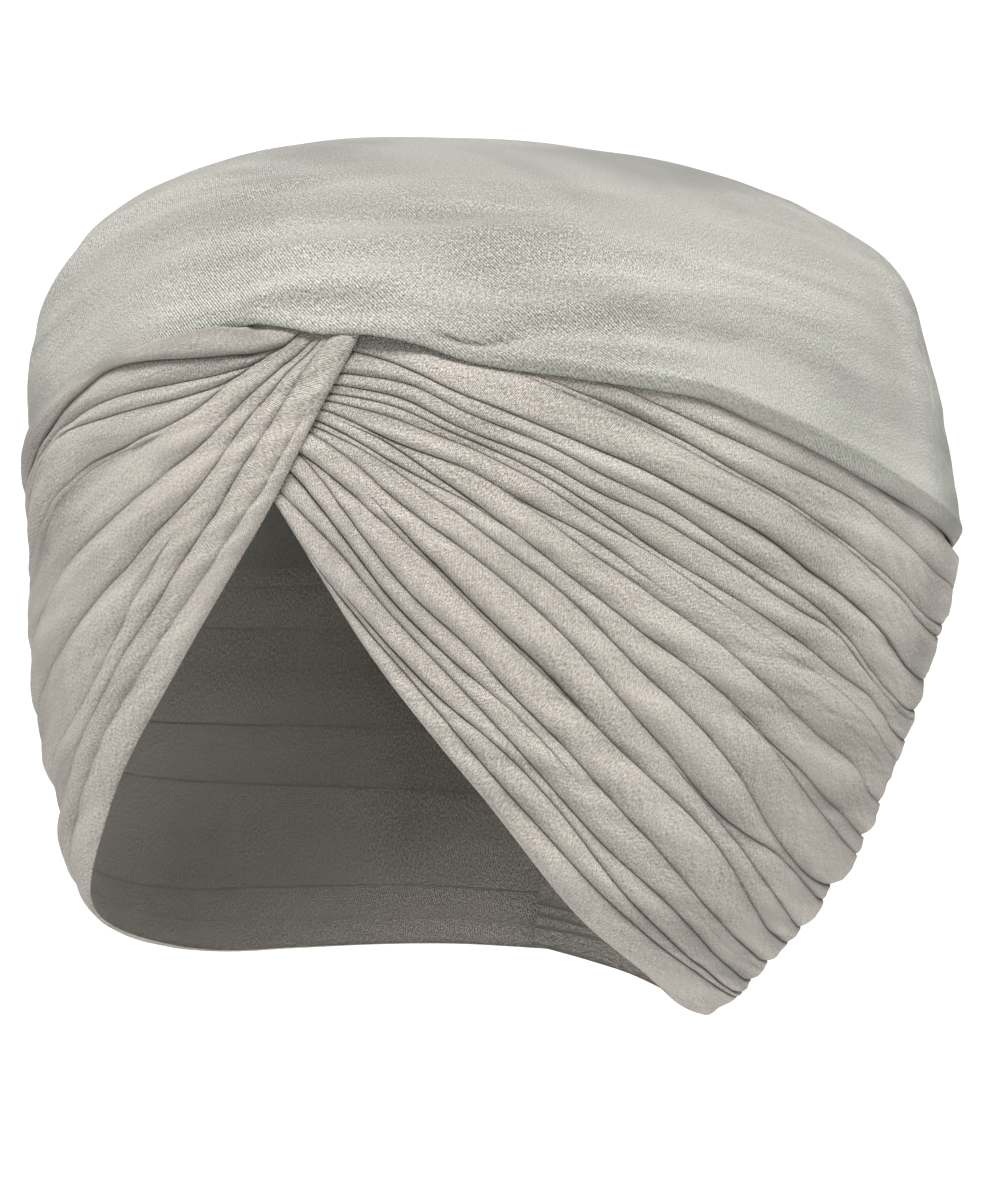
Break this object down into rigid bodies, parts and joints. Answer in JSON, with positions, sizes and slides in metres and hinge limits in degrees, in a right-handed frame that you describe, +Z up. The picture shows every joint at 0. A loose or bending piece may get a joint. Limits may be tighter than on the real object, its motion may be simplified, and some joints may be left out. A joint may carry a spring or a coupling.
{
  "type": "turban head wrap",
  "caption": "Soft turban head wrap of knit jersey: a smooth crown panel over two pleated wings that cross at the forehead and lap at the nape.",
  "frame": {"origin": "the crown seat: the place inside the crown panel that bears on the top of the head", "axes": "+Z up the head, -Y toward the forehead, +X toward the wearer's left side"},
  "size_m": [0.1745, 0.2199, 0.1799],
  "materials": {
    "jersey_crown": "matte fine rib knit, heathered greige",
    "jersey_wings": "matte fine rib knit, heathered greige, a little pinker"
  },
  "bodies": {
    "root": {"crown_panel": "jersey_crown", "right_wing": "jersey_wings", "left_wing": "jersey_wings"}
  },
  "joints": []
}
